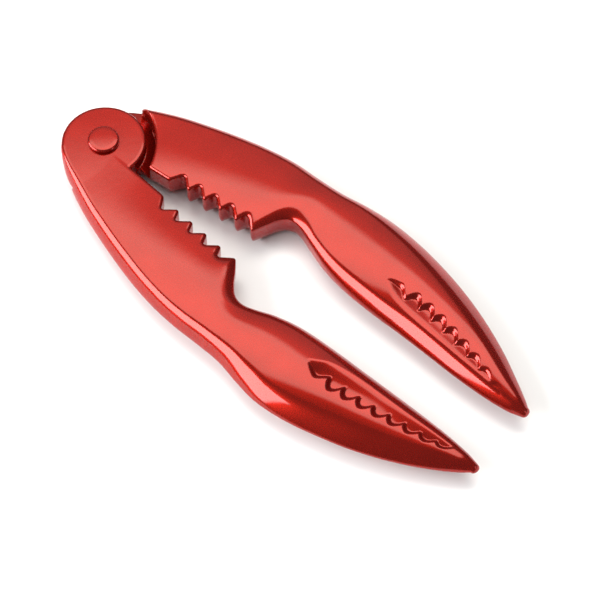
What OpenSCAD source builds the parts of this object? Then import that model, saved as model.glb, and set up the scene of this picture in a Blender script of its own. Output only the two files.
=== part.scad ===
// Claw-shaped lobster cracker: two die-cast arms with half-lapped hubs, joined by one rivet.
// The pivot axis is the Z axis. The table is the plane z = 0. The tips point along +X.

/* [Arms] */
// Distance from the pivot to each claw tip
arm_length = 171.4; // [170.8:0.2:176]
// Angle between each arm's tip line and the X axis, with the cracker lying open
half_opening = 4.1; // [3.4:0.1:12]
// Greatest thickness of the claws
claw_thickness = 13.2; // [12.4:0.1:14]

/* [Hub] */
// Radius of the two hub discs
hub_radius = 14.3; // [13:0.1:15]
// Thickness of the two hub discs together
hub_thickness = 10; // [8:0.2:11]
// Radius of the round shoulder that clears the other arm's disc
shoulder_radius = 17.6; // [16.4:0.1:18.4]
// Gap between the two hub discs
lap_gap = 0.1; // [0.06:0.02:0.2]

/* [Rivet] */
// Radius of the rivet's shaft
shaft_radius = 3; // [2:0.1:4]
// Radial clearance between the shaft and the arm that turns on it
running_clearance = 0.06; // [0.03:0.01:0.1]
// Radius of the rivet's two heads
head_radius = 5.3; // [4.6:0.1:7]

/* [Teeth] */
// Number of teeth in each jaw
tooth_count = 5; // [3:1:5]
// Distance between neighbouring teeth
tooth_pitch = 6.6; // [5.6:0.1:6.6]
// Run of the long flank that rises towards the tip
long_flank = 4.4; // [3.6:0.1:4.8]
// Depth of the notches between the teeth
tooth_depth = 3.4; // [2:0.1:3.8]
// Distance from the pivot to the right jaw's last tooth
last_tooth = 64.2; // [62:0.1:65]
// How much nearer to the pivot the left jaw's teeth are, so that the rows mesh
tooth_shift = 2.8; // [1.4:0.1:3.2]

/* [Leaf groove] */
// Number of scallops along the groove's outer wall
scallop_count = 9; // [5:1:10]

/* [Hidden] */
$fn = 96;
red = [0.75, 0.13, 0.10];

mid_z = claw_thickness / 2;
half_hub = hub_thickness / 2;
head_height = mid_z - half_hub;
underhead_gap = 0.05;
edge_round = 0.5;

// Lines that the jaws follow, measured from the arm's own pivot-to-tip line
ledge_y = -0.8;
ledge_end = 27;
crest_y = -1.4;
root_y = crest_y - tooth_depth;
crest_flat = 0.5;

// Outer edges of the two arms: [distance from the pivot, distance from the tip line]
right_outer = [[-12, -7.6], [-9, -11.4], [-4, -15], [2, -18.1], [12, -22], [22, -24.9],
    [34, -27.8], [46, -30.1], [57, -31.3], [67, -31.4], [77, -30.8], [86, -30.6], [95, -31.8],
    [104, -32.5], [115, -31], [128, -27.2], [140, -22.6], [152, -16.4], [162, -9.8], [168, -5],
    [170, -3]];
left_outer = [[-12, -7.6], [-9, -12], [-4, -16.4], [2, -20.2], [12, -24.6], [22, -27.6],
    [34, -30.4], [46, -32.4], [57, -33.2], [67, -32.7], [77, -32.6], [86, -33.4], [95, -33.5],
    [104, -32.5], [115, -30.2], [128, -26.2], [140, -21.2], [152, -14.8], [162, -8.2], [168, -3.9],
    [170, -2.2]];
// Inner edges behind the last tooth: down the ramp, round the waist, along the claw
right_inner = [[67.4, -4.2], [70.6, -8], [74, -10.8], [78, -11.4], [82.5, -9.6], [88, -6.6],
    [97, -3.4], [109, -1.6], [121, -0.6], [133, 0.3], [144, 1], [156, 1.5], [165, 1.3], [170, 0.6]];
left_inner = [[63.8, -5.4], [66.4, -10], [69, -12.2], [73, -11.9], [79, -9.2], [88, -5.4],
    [97, -3], [109, -1.3], [121, -0.3], [133, 0.9], [144, 2.1], [156, 2.8], [165, 2.6], [170, 1.6]];

// Shape of the section along the arm, each as [distance from the pivot, value]: half its height
// as a share of mid_z, the width of the rounding along its two edges, how much of the height
// that rounding takes, and how far the middle of each face stands above the face's edges
hub_share = half_hub / mid_z;
half_height = [[-9, hub_share], [8, hub_share], [22, 0.79], [60, 0.94], [105, 1], [130, 0.93],
    [150, 0.76], [165, 0.5], [170, 0.28]];
outer_round = [[-9, 1], [4, 1.5], [14, 2.8], [30, 3.7], [80, 4.2], [100, 5.4], [140, 5.8],
    [160, 4.2], [170, 1.6]];
inner_round = [[-9, 1], [66, 1.2], [80, 2], [100, 4], [140, 4.6], [160, 3], [170, 1.6]];
outer_rise = [[-9, 0.3], [4, 0.6], [14, 1], [170, 1]];
inner_rise = [[-9, 0.2], [68, 0.2], [82, 0.5], [105, 1], [170, 1]];
crown = [[-9, 0], [8, 0], [22, 0.15], [40, 0.6], [60, 0.8], [100, 1.2], [130, 1.4], [150, 1.1],
    [170, 0.3]];

// Smooth curve through the points of a table, with the slopes taken from the neighbours
function slope(t, i) =
    let (a = max(i - 1, 0), b = min(i + 1, len(t) - 1))
    (t[b][1] - t[a][1]) / (t[b][0] - t[a][0]);
function span(t, x, i = 0) = (i >= len(t) - 2 || x < t[i + 1][0]) ? i : span(t, x, i + 1);
function curve(t, x) =
    let (i = span(t, x), h = t[i + 1][0] - t[i][0], s = min(max((x - t[i][0]) / h, 0), 1))
    (2 * s ^ 3 - 3 * s ^ 2 + 1) * t[i][1] + (s ^ 3 - 2 * s ^ 2 + s) * h * slope(t, i)
    + (3 * s ^ 2 - 2 * s ^ 3) * t[i + 1][1] + (s ^ 3 - s ^ 2) * h * slope(t, i + 1);

// Corners of the jaw from the hub to the last tooth, as [x, y]
neck_steps = [-12, -9, -6, -3, 0, 5, 10, 15, 20];
function jaw(shift) = concat(
    [for (x = neck_steps) [x, x < 0 ? -4 : ledge_y]],
    [[ledge_end - shift * 0.3, ledge_y]],
    [for (k = [tooth_count - 1:-1:0])
        let (crest = last_tooth - shift - k * tooth_pitch, root = crest - long_flank)
        each [[root - crest_flat, root_y + 0.3], [root + 0.1, root_y], [root + 0.8, root_y + 0.4],
              [crest - crest_flat, crest_y - 0.3], [crest, crest_y], [crest + crest_flat, crest_y - 0.4]]]);

// Stations along the arm, each [x, inner y, outer y]
claw_steps = [for (x = [70:2:98]) x, for (x = [102:5:162]) x, 165, 168, 170];
nose_start = 170;
nose_steps = [30, 55, 75];
nose_lean = 0.3;
function stations(inner, outer, shift) = concat(
    [for (p = jaw(shift)) [p[0], p[1], curve(outer, p[0])]],
    [for (p = [inner[0], inner[1]]) if (p[0] < claw_steps[0]) [p[0], p[1], curve(outer, p[0])]],
    [for (x = claw_steps) [x, curve(inner, x), curve(outer, x)]],
    [for (a = nose_steps)
        let (x = nose_start + (arm_length - nose_start) * sin(a), yi = curve(inner, nose_start),
             yo = curve(outer, nose_start), yc = (yi + yo) / 2 + nose_lean * (1 - cos(a)))
        [x, yc + (yi - yo) / 2 * cos(a), yc - (yi - yo) / 2 * cos(a)]]);

// One section: a closed loop of [y, z], rounded along both edges and crowned on both faces
arc_steps = [0, 22.5, 45, 67.5, 90];
crown_steps = [0.2, 0.5, 0.8];
function half_section(yi, yo, x, squash) =
    let (h = mid_z * curve(half_height, min(x, nose_start)) * squash,
         half_width = (yi - yo) / 2,
         ro = min(curve(outer_round, min(x, nose_start)), half_width * 0.9),
         ri = min(curve(inner_round, min(x, nose_start)), half_width * 0.9),
         c = curve(crown, min(x, nose_start)) * squash,
         edge = h - c,
         vo = edge * curve(outer_rise, min(x, nose_start)),
         vi = edge * curve(inner_rise, min(x, nose_start)))
    concat(
        [for (a = arc_steps) [yo + ro * (1 - cos(a)), edge - vo * (1 - sin(a))]],
        [for (s = crown_steps) [(yo + ro) * (1 - s) + (yi - ri) * s, h - c * (2 * s - 1) ^ 2]],
        [for (k = [len(arc_steps) - 1:-1:0])
            [yi - ri * (1 - cos(arc_steps[k])), edge - vi * (1 - sin(arc_steps[k]))]]);
function section(yi, yo, x, squash) =
    let (upper = half_section(yi, yo, x, squash))
    concat(upper, [for (k = [len(upper) - 1:-1:0]) [upper[k][0], -upper[k][1]]]);

// Solid swept through all the sections
module blank(inner, outer, shift) {
    places = stations(inner, outer, shift);
    rings = [for (p = places)
        let (squash = p[0] > nose_start
                ? sqrt(max(1 - ((p[0] - nose_start) / (arm_length - nose_start)) ^ 2, 0)) : 1)
        [for (q = section(p[1], p[2], p[0], squash)) [p[0], q[0], q[1]]]];
    n = len(rings[0]);
    m = len(rings);
    tip = [arm_length, (curve(inner, nose_start) + curve(outer, nose_start)) / 2 + nose_lean, 0];
    points = concat([for (r = rings) each r], [tip]);
    faces = concat(
        [[for (k = [n - 1:-1:0]) k]],
        [for (j = [0:m - 2], k = [0:n - 1]) [j * n + k, j * n + (k + 1) % n, (j + 1) * n + k]],
        [for (j = [0:m - 2], k = [0:n - 1])
            [j * n + (k + 1) % n, (j + 1) * n + (k + 1) % n, (j + 1) * n + k]],
        [for (k = [0:n - 1]) [(m - 1) * n + k, (m - 1) * n + (k + 1) % n, m * n]]);
    polyhedron(points = points, faces = faces, convexity = 8);
}

// Half-thickness hub disc with a rounded outer edge, its lap face at z = lap_gap / 2
module hub_disc() {
    rotate_extrude()
        polygon([[0, lap_gap / 2], [hub_radius, lap_gap / 2], [hub_radius, half_hub - edge_round],
                 [hub_radius - edge_round * 0.3, half_hub - edge_round * 0.3],
                 [hub_radius - edge_round, half_hub], [0, half_hub]]);
}

// Leaf-shaped groove with a smooth inner wall and a scalloped outer wall. Its edges are given as
// shares of the claw's width, from the inner edge (0) to the outer edge (1).
leaf_inner = [[107, 0.32], [111, 0.25], [118, 0.2], [130, 0.18], [150, 0.17], [160, 0.2], [164, 0.28]];
leaf_outer = [[107, 0.32], [112, 0.43], [118, 0.49], [130, 0.49], [150, 0.45], [160, 0.41], [164, 0.34]];
leaf_steps = [107, 109, 112, 118, 126, 136, 146, 156, 164];
scallop_start = 114;
scallop_end = 162;
scallop_rise = 0.05;
function across(inner, outer, share, x) =
    curve(inner, x) * (1 - curve(share, x)) + curve(outer, x) * curve(share, x);
module leaf(inner, outer) {
    smooth_wall = [for (x = leaf_steps) [x, across(inner, outer, leaf_inner, x)]];
    scalloped_wall = [for (k = [scallop_count:-1:0])
        let (pitch = (scallop_end - scallop_start) / scallop_count, x = scallop_start + k * pitch,
             width = curve(inner, x) - curve(outer, x))
        each [[x + pitch / 2, across(inner, outer, leaf_outer, x + pitch / 2)],
              [x, across(inner, outer, leaf_outer, x) + scallop_rise * width]]];
    start_wall = [for (x = [112, 109.5]) [x, across(inner, outer, leaf_outer, x)]];
    polygon(concat(smooth_wall, [for (p = scalloped_wall) if (p[0] < 163.5) p], start_wall));
}

// The same groove is sunk into both faces, its floor tilted to follow the thinning claw
floor_start = [107, 5.5];
floor_end = [165, 2.5];
floor_tilt = atan((floor_start[1] - floor_end[1]) / (floor_end[0] - floor_start[0]));
module grooves(inner, outer) {
    for (side = [0, 1])
        mirror([0, 0, side])
            translate([floor_start[0], 0, floor_start[1]])
                rotate([0, floor_tilt, 0])
                    translate([-floor_start[0], 0, 0])
                        linear_extrude(height = mid_z) leaf(inner, outer);
}

// One arm in its own frame: pivot at the origin, tip on +X, the other arm on the +Y side,
// the hub disc above the middle plane
module arm(inner, outer, shift, bore_radius) {
    difference() {
        union() {
            difference() {
                blank(inner, outer, shift);
                translate([0, 0, -mid_z]) cylinder(r = shoulder_radius, h = mid_z + lap_gap / 2);
                grooves(inner, outer);
            }
            hub_disc();
        }
        translate([0, 0, -mid_z]) cylinder(r = bore_radius, h = 2 * mid_z);
    }
}

module right_arm() {
    color(red)
        translate([0, 0, mid_z])
            rotate([0, 0, -half_opening])
                arm(right_inner, right_outer, 0, shaft_radius);
}

module left_arm() {
    color(red)
        translate([0, 0, mid_z])
            rotate([180, 0, half_opening])
                arm(left_inner, left_outer, tooth_shift, shaft_radius + running_clearance);
}

// Solid rivet: a shaft with a low round head at each end
module pivot_rivet() {
    color(red)
        rotate_extrude()
            polygon([[0, 0], [head_radius - edge_round, 0], [head_radius, edge_round],
                     [head_radius, head_height - underhead_gap],
                     [shaft_radius, head_height - underhead_gap],
                     [shaft_radius, 2 * mid_z - head_height],
                     [head_radius, 2 * mid_z - head_height],
                     [head_radius, 2 * mid_z - edge_round],
                     [head_radius - edge_round, 2 * mid_z], [0, 2 * mid_z]]);
}

right_arm();
left_arm();
pivot_rivet();
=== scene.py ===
import math

import bpy
import numpy as np
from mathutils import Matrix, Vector


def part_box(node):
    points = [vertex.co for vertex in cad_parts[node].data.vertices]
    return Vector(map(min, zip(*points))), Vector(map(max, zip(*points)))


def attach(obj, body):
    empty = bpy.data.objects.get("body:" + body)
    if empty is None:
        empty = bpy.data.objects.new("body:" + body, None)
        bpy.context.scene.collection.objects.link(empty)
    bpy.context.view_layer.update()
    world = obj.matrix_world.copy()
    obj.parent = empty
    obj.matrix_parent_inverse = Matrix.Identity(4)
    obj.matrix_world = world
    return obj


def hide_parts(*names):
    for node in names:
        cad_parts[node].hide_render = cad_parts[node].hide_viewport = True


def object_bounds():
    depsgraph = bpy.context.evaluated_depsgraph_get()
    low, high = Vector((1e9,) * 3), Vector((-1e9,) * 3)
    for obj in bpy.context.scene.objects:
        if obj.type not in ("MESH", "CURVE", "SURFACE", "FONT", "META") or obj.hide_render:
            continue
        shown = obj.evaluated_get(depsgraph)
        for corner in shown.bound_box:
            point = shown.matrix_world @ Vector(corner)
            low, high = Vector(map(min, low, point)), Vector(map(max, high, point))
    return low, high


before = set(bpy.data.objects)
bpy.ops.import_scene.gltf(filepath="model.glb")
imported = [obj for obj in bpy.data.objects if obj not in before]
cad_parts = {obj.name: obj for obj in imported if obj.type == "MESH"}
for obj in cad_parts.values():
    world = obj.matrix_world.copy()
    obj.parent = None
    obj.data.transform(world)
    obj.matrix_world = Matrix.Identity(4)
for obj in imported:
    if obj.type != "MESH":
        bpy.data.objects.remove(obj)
cad_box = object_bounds()

# ---------------------------------------------------------------- sizes
# The frame gives the scale, the middle plane and the radii of the hub and of the rivet's heads.
# The rest is in millimetres of the design, in each arm's own frame: the pivot at the origin,
# the tip on +X, the other arm on the +Y side, the arm's own hub disc above the middle.
DESIGN_LENGTH = 185.3
MM = (cad_box[1].x - cad_box[0].x) / DESIGN_LENGTH
MID_Z = (cad_box[1].z - cad_box[0].z) / 2 / MM
HUB_RADIUS = -cad_box[0].x / MM
HEAD_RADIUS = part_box("pivot_rivet")[1].x / MM
HALF_OPENING = math.radians(4.1)
ARM_LENGTH = 171.4
HALF_HUB = 5.0
FLAT_HUB_END = 20.0
BORE_RADIUS = 3.0
# Rounding of the hub disc's rim
RIM = 0.9

# The lap: each hub disc turns in a notch under the other arm's shoulder. The shoulder's wall is
# nearest to the pivot in one direction, in degrees, and flares away on both sides of it
LAP_GAP = 0.1
SHOULDER_RADIUS = 17.6
SHOULDER_DIRECTION = -37
SHOULDER_FLARE = 1.4
FLARE_ANGLE = 38
FLARE_LIMIT = 1.2
LAP_EDGE_ROUND = 0.5
# Beyond the disc's rim the lap face slopes away from the disc, and more steeply so along the
# shoulder; the change lies between two angles, measured from SHOULDER_DIRECTION
LAP_SLOPE = 0.12
LAP_DIP = 0.6
DIP_START = -50
DIP_END = -20

# Jaw lines, measured from the arm's pivot-to-tip line. The ledge between the hub and the teeth
# ends at LEDGE_END, or LEDGE_TO_ROOT before the first tooth's root where that comes sooner
LEDGE_Y = -0.8
LEDGE_END = 30.2
LEDGE_ROUND = 1.2
LEDGE_TO_ROOT = 3
CREST_Y = -0.8
TOOTH_DEPTH = 4.4
TOOTH_COUNT = 5
TOOTH_PITCH = 6.6
LONG_FLANK = 4.4
CREST_ROUND = 0.9
ROOT_ROUND = 0.8
# The arm's end behind the pivot, inside the disc, and the start of the rounded tip
HEEL = -12.0
HEEL_Y = -4
NOSE_START = 170.0
# Square of the share of the thickness that is left at the very tip
TIP_BLUNTNESS = 0.02
# Spacing of the outline's points
OUTLINE_START = 0.5
OUTLINE_STEP = 0.8

# What differs between the two castings: the side that faces up, the outer edge, the inner edge
# behind the teeth, the last tooth, and the outer edge of the leaf groove as a share of the width
RIGHT = {
    "up": 1,
    "outer": [(-12, -7.6), (-9, -11.4), (-4, -15), (2, -18.1), (12, -22), (22, -24.9), (34, -27.8),
              (46, -30.1), (57, -31.3), (67, -31.4), (77, -30.8), (86, -30.6), (95, -31.8),
              (104, -32.5), (115, -31), (128, -27.2), (140, -22.6), (152, -16.4), (162, -9.8),
              (168, -5), (170, -3)],
    "inner": [(67.4, -4.2), (70.6, -8), (74, -10.8), (78, -11.4), (82.5, -9.6), (88, -6.6),
              (97, -3.4), (109, -1.6), (121, -0.6), (133, 0.3), (144, 1), (156, 1.5), (165, 1.3),
              (170, 0.6)],
    "last_tooth": 64.2,
    "leaf": [(108, 0.34), (111, 0.42), (114, 0.48), (118, 0.52), (130, 0.52), (150, 0.51), (158, 0.48),
             (166, 0.26)],
}
LEFT = {
    "up": -1,
    "outer": [(-12, -7.6), (-9, -12), (-4, -16.4), (2, -20.2), (12, -24.6), (22, -27.6), (34, -30.4),
              (46, -32.4), (57, -33.2), (67, -32.7), (77, -32.6), (86, -33.4), (95, -33.5),
              (104, -32.5), (115, -30.2), (128, -26.2), (140, -21.2), (152, -14.8), (162, -8.2),
              (168, -3.9), (170, -2.2)],
    "inner": [(63.8, -5.4), (66.4, -10), (69, -12.2), (73, -11.9), (79, -9.2), (88, -5.4), (97, -3),
              (109, -1.3), (121, -0.3), (133, 0.9), (144, 2.1), (156, 2.8), (165, 2.6), (170, 1.6)],
    "last_tooth": 61.4,
    "leaf": [(108, 0.34), (111, 0.38), (114, 0.41), (118, 0.44), (126, 0.46), (134, 0.46), (142, 0.45),
             (150, 0.42), (158, 0.35), (166, 0.24)],
}

# Section along the arm, each table as (distance from the pivot, value).
# Half the arm's thickness, as a share of MID_Z
HUB_SHARE = HALF_HUB / MID_Z
HALF_HEIGHT = [(-9, HUB_SHARE), (8, HUB_SHARE), (22, 0.79), (60, 0.94), (105, 1), (130, 0.93),
               (150, 0.76), (165, 0.5), (170, 0.28)]
# Width of the roundings along the arm's outer and inner edges
OUTER_ROUND = [(-9, 0.8), (-4, 1.6), (4, 3), (14, 3.5), (30, 3.8), (80, 4.2), (100, 6), (130, 7),
               (150, 6), (160, 4.5), (170, 1.8)]
INNER_ROUND = [(-9, 1), (48, 1.1), (60, 2.4), (67, 4.6), (73, 4.2), (80, 3), (100, 4), (140, 4.6),
               (160, 3.4), (170, 1.6)]
# How much of half the thickness those roundings take
OUTER_RISE = [(-9, 0.3), (-4, 0.7), (4, 1), (170, 1)]
INNER_RISE = [(-9, 0.2), (60, 0.22), (68, 0.34), (82, 0.5), (105, 1), (170, 1)]
# The same for the inner edge of the under half, and how much wider its outer edge's rounding is
UNDER_ROUND = [(-9, 1), (10, 1.6), (24, 2.6), (80, 3), (100, 4), (140, 4.6), (160, 3.4), (170, 1.6)]
UNDER_RISE = [(-9, 0.2), (20, 0.9), (105, 1), (170, 1)]
UNDERCUT = 1.6
# A rounding takes no more than this share of half the arm's width
WIDEST_ROUND = 0.9
# Shares of the width, from the inner edge, between which the inner edge's values go over into
# the outer edge's
MIDDLE_BAND = (0.4, 0.6)
# How far the middle of each face stands above the face's edges
CROWN = [(-9, 0), (12, 0), (22, 0.15), (40, 0.5), (60, 0.9), (85, 1.3), (105, 2.1), (130, 2.7),
         (150, 1.8), (170, 0.4)]
# How round the sides are: 2 is an ellipse, less is a bevel that meets its mirror image in an edge
OUTER_POWER = [(-9, 2), (14, 1.6), (170, 1.6)]
INNER_POWER = [(-9, 2), (70, 2), (90, 1.65), (170, 1.65)]

# Leaf groove: its inner edge as a share of the claw's width, its scallops and its depth
LEAF_INNER = [(108, 0.34), (110.5, 0.28), (114, 0.21), (121, 0.165), (133, 0.13), (150, 0.13),
              (160, 0.14), (166, 0.22)]
LEAF_START = 108.0
LEAF_END = 166.0
SCALLOP_START = 117.6
SCALLOP_PITCH = 5.5
SCALLOP_COUNT = 8
SCALLOP_SHARE = 0.12
SCALLOP_FADE = 4
FLOOR_SLOPE = 0.36
FLOOR_EASE = 2.2
WALL_SLOPE = 1.0
LEAF_DEPTH = 1.6
# Widths over which the groove's corners, its deepest line and its foot are rounded
CORNER_EASE = 0.3
DEEPEST_EASE = 0.8
FOOT_EASE = 0.4

# Grid on which an arm is worked out: its cell, the longest step, in cells, that moves a point
# onto the surface, how far the grid reaches on the outer side, and its margins round the arm
CELL = 0.4
LONGEST_STEP = 0.4
OUTER_REACH = 35
GRID_MARGIN = 1
TIP_MARGIN = 1.2
FACE_MARGIN = 0.9


# ---------------------------------------------------------------- curves and outlines
def curve(table, x):
    """Smooth curve through a table's points, with the slopes taken from the neighbours."""
    px, py = np.array(table, float).T
    slope = np.gradient(py, px)
    slope[1:-1] = (py[2:] - py[:-2]) / (px[2:] - px[:-2])
    i = np.clip(np.searchsorted(px, x, side="right") - 1, 0, len(px) - 2)
    h = px[i + 1] - px[i]
    s = np.clip((x - px[i]) / h, 0, 1)
    return ((2 * s ** 3 - 3 * s ** 2 + 1) * py[i] + (s ** 3 - 2 * s ** 2 + s) * h * slope[i]
            + (3 * s ** 2 - 2 * s ** 3) * py[i + 1] + (s ** 3 - s ** 2) * h * slope[i + 1])


def smooth_step(x, low, high):
    s = np.clip((x - low) / (high - low), 0, 1)
    return s * s * (3 - 2 * s)


def smooth_max(a, b, width):
    """The larger of two fields, with the edge between them rounded over that width."""
    h = np.maximum(width - np.abs(a - b), 0) / width
    return np.maximum(a, b) + h * h * width / 4


def rounded(corners, steps=5):
    """Points along a line of corners (x, y, radius), each corner turned into an arc."""
    points = []
    for k, (x, y, radius) in enumerate(corners):
        here = np.array([x, y], float)
        if radius == 0 or k in (0, len(corners) - 1):
            points.append(here)
            continue
        back = np.array(corners[k - 1][:2], float) - here
        ahead = np.array(corners[k + 1][:2], float) - here
        back /= np.linalg.norm(back)
        ahead /= np.linalg.norm(ahead)
        half = math.acos(np.clip(back @ ahead, -1, 1)) / 2
        centre = here + (back + ahead) / np.linalg.norm(back + ahead) * radius / math.sin(half)
        first = here + back * radius / math.tan(half) - centre
        last = here + ahead * radius / math.tan(half) - centre
        start = math.atan2(first[1], first[0])
        turn = (math.atan2(last[1], last[0]) - start + math.pi) % (2 * math.pi) - math.pi
        for j in range(steps + 1):
            a = start + turn * j / steps
            points.append(centre + radius * np.array([math.cos(a), math.sin(a)]))
    return points


def jaw_corners(arm):
    """Corners of the jaw's edge from the hub to the last tooth."""
    first_root = arm["last_tooth"] - (TOOTH_COUNT - 1) * TOOTH_PITCH - LONG_FLANK
    ledge_end = min(LEDGE_END, first_root - LEDGE_TO_ROOT)
    corners = [(HEEL, HEEL_Y, 0), (0, LEDGE_Y, 0), (ledge_end, LEDGE_Y, LEDGE_ROUND)]
    for k in range(TOOTH_COUNT):
        crest = arm["last_tooth"] - (TOOTH_COUNT - 1 - k) * TOOTH_PITCH
        corners.append((crest - LONG_FLANK, CREST_Y - TOOTH_DEPTH, ROOT_ROUND))
        corners.append((crest, CREST_Y, CREST_ROUND))
    corners.append((arm["inner"][0][0], arm["inner"][0][1], 0))
    return corners


def outline(arm):
    """Closed outline of the arm in the plan: along the jaw and claw, round the tip and back."""
    points = rounded(jaw_corners(arm))
    for x in np.arange(arm["inner"][0][0] + OUTLINE_START, NOSE_START, OUTLINE_STEP):
        points.append(np.array([x, curve(arm["inner"], x)]))
    y_in = curve(arm["inner"], NOSE_START)
    y_out = curve(arm["outer"], NOSE_START)
    middle = (y_in + y_out) / 2
    half = (y_in - y_out) / 2
    for a in np.linspace(0, math.pi, 17):
        points.append(np.array([NOSE_START + (ARM_LENGTH - NOSE_START) * math.sin(a),
                                middle + half * math.cos(a)]))
    for x in np.arange(NOSE_START - OUTLINE_STEP, HEEL, -OUTLINE_STEP):
        points.append(np.array([x, curve(arm["outer"], x)]))
    points.append(np.array([HEEL, curve(arm["outer"], HEEL)]))
    return np.array(points)


def outline_distance(x, y, points):
    """Distance in the plan from each place to the outline, negative inside it."""
    nearest = np.full(x.shape, 1e9)
    inside = np.zeros(x.shape, bool)
    for (ax, ay), (bx, by) in zip(points, np.roll(points, -1, axis=0)):
        ex, ey = bx - ax, by - ay
        t = np.clip(((x - ax) * ex + (y - ay) * ey) / (ex * ex + ey * ey), 0, 1)
        np.minimum(nearest, (x - ax - t * ex) ** 2 + (y - ay - t * ey) ** 2, out=nearest)
        if ey != 0:
            inside ^= ((ay > y) != (by > y)) & (x < ax + (y - ay) * ex / ey)
    return np.where(inside, -1, 1) * np.sqrt(nearest)


# ---------------------------------------------------------------- the shape of an arm
def leaf_depth(arm, x, y):
    """How deep the leaf-shaped groove is at each place, with scallops along its outer wall."""
    at = np.clip(x, LEAF_START, LEAF_END)
    y_in = curve(arm["inner"], at)
    y_out = curve(arm["outer"], at)
    width = y_in - y_out
    from_inner = (y_in - curve(LEAF_INNER, at) * width) - y
    phase = np.clip((at - SCALLOP_START) / SCALLOP_PITCH, 0, SCALLOP_COUNT)
    bite = 1 - (2 * (phase % 1.0) - 1) ** 2
    begun = smooth_step(at, SCALLOP_START - SCALLOP_FADE, SCALLOP_START)
    ridge = (1 - bite) * SCALLOP_SHARE * width * begun
    from_outer = y - (y_out + (1 - curve(arm["leaf"], at)) * width) - ridge
    ends = np.minimum(x - LEAF_START, LEAF_END - x)
    wall = smooth_max(-from_outer * WALL_SLOPE, -ends * WALL_SLOPE, CORNER_EASE)
    inward = np.maximum(from_inner, 0)
    floor = FLOOR_SLOPE * inward ** 2 / (inward + FLOOR_EASE)
    floor = -smooth_max(-floor, -LEAF_DEPTH, DEEPEST_EASE)
    depth = -smooth_max(-floor, wall, FOOT_EASE)
    return np.maximum(depth, 0)


def edge_field(u, v, power=2.0):
    """Below 0 inside a rounded edge; u and v reach 1 at the edge's two faces."""
    return (np.maximum(u, 0) ** power + np.maximum(v, 0) ** power) ** (1 / power) - 1


def inner_to_outer(inner, outer, at, side, widening=1):
    """Goes over from the inner edge's table to the outer edge's, where side goes from 0 to 1."""
    return curve(inner, at) * (1 - side) + curve(outer, at) * widening * side


def soft_inner_edge(arm):
    """The inner edge without its teeth, evened out so that the faces' crown runs on smoothly."""
    margin = 20
    along = np.arange(HEEL - margin, ARM_LENGTH + margin, 0.5)
    at = np.clip(along, arm["inner"][0][0], NOSE_START)
    edge = np.where(along < at, CREST_Y, curve(arm["inner"], at))
    window = np.hanning(41)
    return along, np.convolve(edge, window / window.sum(), mode="same")


def half_thickness(x, at, across):
    """Half the thickness at each place, with the crown of the faces and the rounded tip."""
    height = MID_Z * curve(HALF_HEIGHT, at) - curve(CROWN, at) * (2 * across - 1) ** 2
    height = np.where(x < FLAT_HUB_END, np.maximum(height, HALF_HUB), height)
    nose = np.clip((x - NOSE_START) / (ARM_LENGTH - NOSE_START), 0, 1)
    return height * np.sqrt(np.maximum(1 - nose ** 2, TIP_BLUNTNESS))


def body_field(arm, x, y, z):
    """Below 0 inside the arm's body: its outline raised to both faces, with rounded edges."""
    distance = outline_distance(x, y, outline(arm))
    at = np.clip(x, HEEL, NOSE_START)
    y_in = np.interp(x, *soft_inner_edge(arm))
    y_out = curve(arm["outer"], at)
    half_width = (y_in - y_out) / 2
    across = np.clip((y_in - y) / (y_in - y_out), 0, 1)
    side = smooth_step(across, *MIDDLE_BAND)
    height = half_thickness(x, at, across) - leaf_depth(arm, x, y)
    power = inner_to_outer(INNER_POWER, OUTER_POWER, at, side)[:, :, None]
    halves = []
    for inner_round, inner_rise, widening in ((INNER_ROUND, INNER_RISE, 1),
                                              (UNDER_ROUND, UNDER_RISE, UNDERCUT)):
        edge = inner_to_outer(inner_round, OUTER_ROUND, at, side, widening)
        edge = np.minimum(edge, half_width * WIDEST_ROUND)
        rise = height * inner_to_outer(inner_rise, OUTER_RISE, at, side)
        u = ((distance + edge) / edge)[:, :, None]
        v = (np.abs(z) - (height - rise)[:, :, None]) / rise[:, :, None]
        halves.append(edge_field(u, v, power) * rise[:, :, None])
    return np.where(z * arm["up"] >= 0, halves[0], halves[1])


def lap_field(x, y, z):
    """Below 0 in the notch that the other arm's hub disc turns in."""
    radius = np.hypot(x, y)[:, :, None]
    turn = np.degrees(np.arctan2(y, x)) - SHOULDER_DIRECTION
    flare = np.clip((turn / FLARE_ANGLE) ** 2, 0, FLARE_LIMIT)[:, :, None]
    shoulder = SHOULDER_RADIUS + SHOULDER_FLARE * flare
    slope = LAP_SLOPE + LAP_DIP * smooth_step(turn, DIP_START, DIP_END)[:, :, None]
    lap_face = LAP_GAP / 2 + slope * np.maximum(radius - HUB_RADIUS, 0)
    return np.maximum(radius - shoulder, z - lap_face)


def arm_field(arm, xs, ys, zs):
    """A field over the grid that is negative inside the arm and 0 on its surface."""
    x, y = np.meshgrid(xs, ys, indexing="ij")
    z = zs[None, None, :]
    radius = np.hypot(x, y)[:, :, None]
    disc = edge_field((radius - HUB_RADIUS + RIM) / RIM, (z - HALF_HUB + RIM) / RIM) * RIM
    solid = np.minimum(body_field(arm, x, y, z), disc)
    solid = smooth_max(solid, -lap_field(x, y, z), LAP_EDGE_ROUND)
    return np.maximum(solid, BORE_RADIUS - radius)


# ---------------------------------------------------------------- from a field to a mesh
CUBE = [(i, j, k) for i in (0, 1) for j in (0, 1) for k in (0, 1)]


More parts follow.
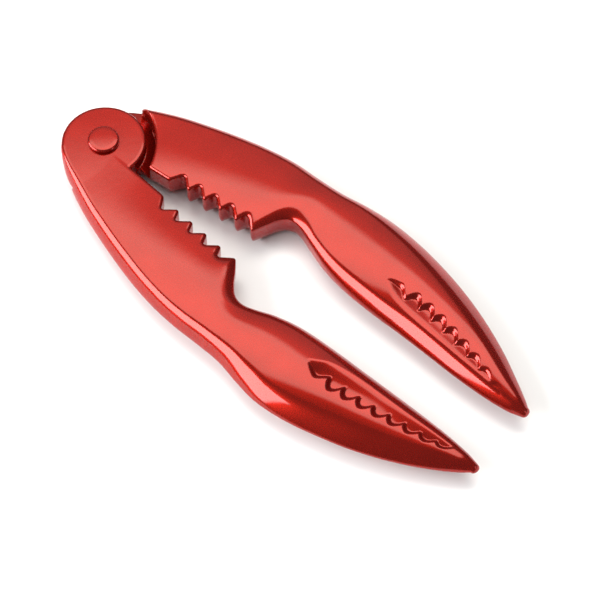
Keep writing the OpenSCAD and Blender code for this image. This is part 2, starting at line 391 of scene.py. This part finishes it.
def sample(values, places):
    """Values of a grid at places given in cells, by linear interpolation."""
    limit = np.array(values.shape[:3]) - 1.001
    places = np.clip(places, 0, limit)
    low = places.astype(int)
    part = places - low
    total = 0
    for corner in CUBE:
        weight = np.ones(len(places))
        for axis in range(3):
            weight = weight * (part[:, axis] if corner[axis] else 1 - part[:, axis])
        i, j, k = (low + corner).T
        found = values[i, j, k]
        total = total + (weight[:, None] * found if found.ndim > 1 else weight * found)
    return total


def cell_points(field):
    """One point in each cell that the surface crosses: the middle of its crossings."""
    inside = field < 0
    count = 0
    for i, j, k in CUBE:
        count = count + inside[i:i - 1 or None, j:j - 1 or None, k:k - 1 or None].astype(np.int8)
    cells = np.argwhere((count > 0) & (count < 8))
    total = np.zeros((len(cells), 3))
    crossings = np.zeros(len(cells))
    for corner in CUBE:
        for axis in range(3):
            if corner[axis]:
                continue
            a = cells + corner
            b = a.copy()
            b[:, axis] += 1
            fa = field[tuple(a.T)]
            fb = field[tuple(b.T)]
            crossed = (fa < 0) != (fb < 0)
            t = np.where(crossed, fa / np.where(crossed, fa - fb, 1), 0)
            place = a.astype(float)
            place[:, axis] += t
            total += np.where(crossed[:, None], place, 0)
            crossings += crossed
    return cells, total / crossings[:, None]


def cell_faces(field, cells):
    """A four-sided face round each grid edge that the surface crosses."""
    number = np.full(field.shape, -1)
    number[tuple(cells.T)] = np.arange(len(cells))
    inside = field < 0
    faces = []
    for axis in range(3):
        one = (axis + 1) % 3
        two = (axis + 2) % 3
        edges = np.argwhere(np.diff(inside, axis=axis))
        starts_inside = inside[tuple(edges.T)]
        ring = []
        for d_one, d_two in ((0, 0), (-1, 0), (-1, -1), (0, -1)):
            place = edges.copy()
            place[:, one] += d_one
            place[:, two] += d_two
            ring.append(number[tuple(place.T)])
        ring = np.stack(ring, axis=1)
        ring[~starts_inside] = ring[~starts_inside][:, ::-1]
        faces.append(ring)
    return np.concatenate(faces)


def surface(field, corner, cell):
    """Points, faces and normals of the surface where the field is 0."""
    slope = np.stack(np.gradient(field), axis=-1)
    cells, places = cell_points(field)
    faces = cell_faces(field, cells)
    for _ in range(2):
        value = sample(field, places)
        way = sample(slope, places)
        step = value[:, None] * way / np.maximum((way ** 2).sum(1), 1e-6)[:, None]
        length = np.linalg.norm(step, axis=1)[:, None]
        places = places - step * np.minimum(1, LONGEST_STEP / np.maximum(length, 1e-9))
    normals = sample(slope, places)
    normals /= np.maximum(np.linalg.norm(normals, axis=1), 1e-9)[:, None]
    return np.array(corner) + places * cell, faces, normals


def arm_to_row(points, flipped, lift):
    """Turns an arm's own frame into the row frame; the left arm is turned over first."""
    x, y, z = points.T
    side = -1 if flipped else 1
    a = HALF_OPENING if flipped else -HALF_OPENING
    y = y * side
    z = z * side
    return np.stack([x * math.cos(a) - y * math.sin(a), x * math.sin(a) + y * math.cos(a),
                     z + lift], axis=1)


def mesh_object(name, points, faces, normals=None):
    """A new smooth-shaded object in the scene, with its own normals where they are given."""
    mesh = bpy.data.meshes.new(name)
    mesh.from_pydata(points.tolist(), [], [list(f) for f in faces])
    mesh.update()
    mesh.shade_smooth()
    if normals is not None:
        mesh.normals_split_custom_set_from_vertices(normals.tolist())
    piece = bpy.data.objects.new(name, mesh)
    bpy.context.scene.collection.objects.link(piece)
    return piece


def build_arm(name, arm, flipped):
    """One arm's casting as a single smooth closed mesh."""
    xs = np.arange(-HUB_RADIUS - GRID_MARGIN, ARM_LENGTH + TIP_MARGIN, CELL)
    ys = np.arange(-OUTER_REACH, HUB_RADIUS + GRID_MARGIN, CELL)
    zs = np.arange(-MID_Z - FACE_MARGIN, MID_Z + FACE_MARGIN, CELL)
    field = arm_field(arm, xs, ys, zs)
    points, faces, normals = surface(field, (xs[0], ys[0], zs[0]), CELL)
    points = arm_to_row(points, flipped, MID_Z) * MM
    normals = arm_to_row(normals, flipped, 0)
    return mesh_object(name, points, faces, normals)


# ---------------------------------------------------------------- the rivet
def lathe(name, profile, turns):
    """Turns a profile of (radius, height), whose ends lie on the axis, into a closed mesh."""
    points = []
    for r, z in profile[1:-1]:
        for k in range(turns):
            a = 2 * math.pi * k / turns
            points.append((r * math.cos(a), r * math.sin(a), z))
    rows = len(profile) - 2
    faces = []
    for j in range(rows - 1):
        for k in range(turns):
            n = (k + 1) % turns
            faces.append((j * turns + k, j * turns + n, (j + 1) * turns + n, (j + 1) * turns + k))
    faces.append(tuple(reversed(range(turns))))
    faces.append(tuple((rows - 1) * turns + k for k in range(turns)))
    return mesh_object(name, np.array(points) * MM, faces)


def build_rivet(name):
    """Solid rivet turned on the pivot axis: a shaft between two low heads with rounded rims."""
    rim = 0.75
    brow = 0.03
    brow_width = 1.2
    under = MID_Z - HALF_HUB - 0.05
    bevel = 0.25
    bevel_width = 0.12
    fillet = 0.1
    shaft = BORE_RADIUS - 0.05
    half = [(0.0, 0.0), (HEAD_RADIUS - rim - brow_width, 0.0), (HEAD_RADIUS - rim, brow)]
    for angle in np.radians(np.linspace(15, 90, 6)):
        half.append((HEAD_RADIUS - rim + rim * math.sin(angle), brow + rim * (1 - math.cos(angle))))
    half += [(HEAD_RADIUS, under - bevel), (HEAD_RADIUS - bevel_width, under), (shaft + fillet, under),
             (shaft, under + fillet)]
    profile = half + [(r, 2 * MID_Z - z) for r, z in reversed(half)]
    return lathe(name, profile, turns=96)


# ---------------------------------------------------------------- materials
def new_material(name):
    """A new material, with its nodes, its links and its Principled BSDF."""
    material = bpy.data.materials.new(name)
    material.use_nodes = True
    tree = material.node_tree
    return material, tree.nodes, tree.links, tree.nodes["Principled BSDF"]


def noise(nodes, links, place, scale, detail):
    """A noise texture in the object's own coordinates."""
    node = nodes.new("ShaderNodeTexNoise")
    node.inputs["Scale"].default_value = scale
    node.inputs["Detail"].default_value = detail
    links.new(place.outputs["Object"], node.inputs["Vector"])
    return node


def ramp(nodes, links, source, low, high, start, end):
    """A colour ramp from one colour to another between two values of the source."""
    node = nodes.new("ShaderNodeValToRGB")
    first, last = node.color_ramp.elements
    first.position = start
    first.color = (*low, 1)
    last.position = end
    last.color = (*high, 1)
    links.new(source, node.inputs["Fac"])
    return node


def red_lacquer():
    """Translucent red lacquer over bright metal: fine sparkle, soft mottling, a wet clear coat."""
    material, nodes, links, shader = new_material("red_lacquer")
    place = nodes.new("ShaderNodeTexCoord")
    mottle = noise(nodes, links, place, 90, 3)
    colour = ramp(nodes, links, mottle.outputs["Fac"], (0.315, 0.0105, 0.005), (0.35, 0.012, 0.006),
                  0.35, 0.65)
    links.new(colour.outputs["Color"], shader.inputs["Base Color"])
    flake = noise(nodes, links, place, 2600, 2)
    rough = nodes.new("ShaderNodeMapRange")
    rough.inputs["To Min"].default_value = 0.25
    rough.inputs["To Max"].default_value = 0.29
    links.new(flake.outputs["Fac"], rough.inputs["Value"])
    links.new(rough.outputs["Result"], shader.inputs["Roughness"])
    shader.inputs["Metallic"].default_value = 0.75
    shader.inputs["Specular IOR Level"].default_value = 0.0
    shader.inputs["Specular Tint"].default_value = (1.0, 0.10, 0.06, 1)
    shader.inputs["Coat Weight"].default_value = 1.0
    shader.inputs["Coat Roughness"].default_value = 0.03
    shader.inputs["Coat IOR"].default_value = 1.45
    peel = noise(nodes, links, place, 420, 1)
    bump = nodes.new("ShaderNodeBump")
    bump.inputs["Strength"].default_value = 0.02
    bump.inputs["Distance"].default_value = 0.0002
    links.new(peel.outputs["Fac"], bump.inputs["Height"])
    links.new(bump.outputs["Normal"], shader.inputs["Coat Normal"])
    return material


def pale_floor():
    """Plain matt studio floor."""
    material, _, _, shader = new_material("pale_floor")
    shader.inputs["Base Color"].default_value = (0.86, 0.86, 0.86, 1)
    shader.inputs["Roughness"].default_value = 0.6
    return material


# ---------------------------------------------------------------- stage, light and camera
def build_floor():
    """Square floor in the plane of the table, kept out of the part as stage."""
    size = 6.0
    points = np.array([(-size, -size, 0), (size, -size, 0), (size, size, 0), (-size, size, 0)])
    floor = mesh_object("floor", points, [(0, 1, 2, 3)])
    floor.data.materials.append(pale_floor())


# The photograph's viewing direction: turned from -Y towards +X, where the claws are, and raised
VIEW_AZIMUTH = math.radians(40.3)
VIEW_ELEVATION = 60
VIEW_DISTANCE = 700 * MM
TARGET = Vector((90.6, -4.4, 11.6)) * MM
LENS = 130.05


def around(azimuth, elevation, distance):
    """A place round the target; azimuth 0 is on the camera's side, 90 on its right."""
    a = VIEW_AZIMUTH + math.radians(azimuth)
    e = math.radians(elevation)
    away = Vector((math.sin(a) * math.cos(e), -math.cos(a) * math.cos(e), math.sin(e)))
    return TARGET + away * distance


def build_camera():
    """Camera at the photograph's angle, aimed at the target."""
    data = bpy.data.cameras.new("camera")
    data.sensor_width = 36
    data.lens = LENS
    data.clip_start = 0.01
    data.clip_end = 20
    camera = bpy.data.objects.new("camera", data)
    camera.location = around(0, VIEW_ELEVATION, VIEW_DISTANCE)
    camera.rotation_mode = "QUATERNION"
    camera.rotation_quaternion = (TARGET - camera.location).to_track_quat("-Z", "Y")
    bpy.context.scene.collection.objects.link(camera)
    bpy.context.scene.camera = camera


def fade_edges(data, share):
    """Lets a lamp's brightness fall off over that share of its width and height at each edge."""
    data.use_nodes = True
    nodes, links = data.node_tree.nodes, data.node_tree.links
    place = nodes.new("ShaderNodeNewGeometry")
    split = nodes.new("ShaderNodeSeparateXYZ")
    links.new(place.outputs["Parametric"], split.inputs["Vector"])
    both = nodes.new("ShaderNodeMath")
    both.operation = "MULTIPLY"
    for k, axis in enumerate("XY"):
        from_edge = nodes.new("ShaderNodeMath")
        from_edge.operation = "PINGPONG"
        from_edge.inputs[1].default_value = 0.5
        links.new(split.outputs[axis], from_edge.inputs[0])
        fade = nodes.new("ShaderNodeMapRange")
        fade.interpolation_type = "SMOOTHSTEP"
        fade.inputs["From Max"].default_value = share
        links.new(from_edge.outputs["Value"], fade.inputs["Value"])
        links.new(fade.outputs["Result"], both.inputs[k])
    links.new(both.outputs["Value"], nodes["Emission"].inputs["Strength"])


def softbox(name, azimuth, elevation, distance, size, radiance, colour=(1, 1, 1), fade=0.1):
    """A soft rectangular lamp aimed at the object. radiance is its brightness as seen."""
    width, height = size
    data = bpy.data.lights.new(name, "AREA")
    data.shape = "RECTANGLE"
    data.size = width
    data.size_y = height
    data.energy = radiance * math.pi * width * height
    data.color = colour
    fade_edges(data, fade)
    lamp = bpy.data.objects.new(name, data)
    lamp.location = around(azimuth, elevation, distance)
    lamp.rotation_mode = "QUATERNION"
    lamp.rotation_quaternion = (TARGET - lamp.location).to_track_quat("-Z", "Y")
    bpy.context.scene.collection.objects.link(lamp)
    return lamp


def build_world():
    """Even white surroundings."""
    world = bpy.data.worlds.new("studio")
    world.use_nodes = True
    world.node_tree.nodes["Background"].inputs["Color"].default_value = (1, 1, 1, 1)
    world.node_tree.nodes["Background"].inputs["Strength"].default_value = 0.12
    bpy.context.scene.world = world


def build_light():
    """Lamps that show in the lacquer, then two that only light the scene."""
    softbox("overhead", azimuth=180, elevation=65, distance=1.5, size=(1.7, 0.65), radiance=3.1,
            colour=(1, 0.95, 0.82), fade=0.16)
    softbox("back_wall", azimuth=180, elevation=46, distance=1.7, size=(2.0, 0.9), radiance=0.45,
            fade=0.3)
    softbox("left_panel", azimuth=280, elevation=27, distance=1.2, size=(1.3, 0.85), radiance=8.0,
            fade=0.06)
    softbox("right_panel", azimuth=60, elevation=25, distance=1.4, size=(0.3, 0.6), radiance=4.0)
    fills = [
        softbox("back_fill", azimuth=180, elevation=62, distance=1.6, size=(1.6, 1.3), radiance=1.8),
        softbox("top_fill", azimuth=180, elevation=85, distance=1.6, size=(2.6, 2.6), radiance=0.95),
    ]
    for lamp in fills:
        lamp.visible_glossy = False


lacquer = red_lacquer()
for piece, body, node in (
        (build_arm("right_casting", RIGHT, False), "right_arm", "right_arm"),
        (build_arm("left_casting", LEFT, True), "left_arm", "left_arm"),
        (build_rivet("rivet_turned"), "right_arm", "pivot_rivet")):
    piece.data.materials.append(lacquer)
    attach(piece, body)
    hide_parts(node)
build_floor()
build_world()
build_light()
build_camera()
bpy.context.scene.view_settings.view_transform = "Standard"
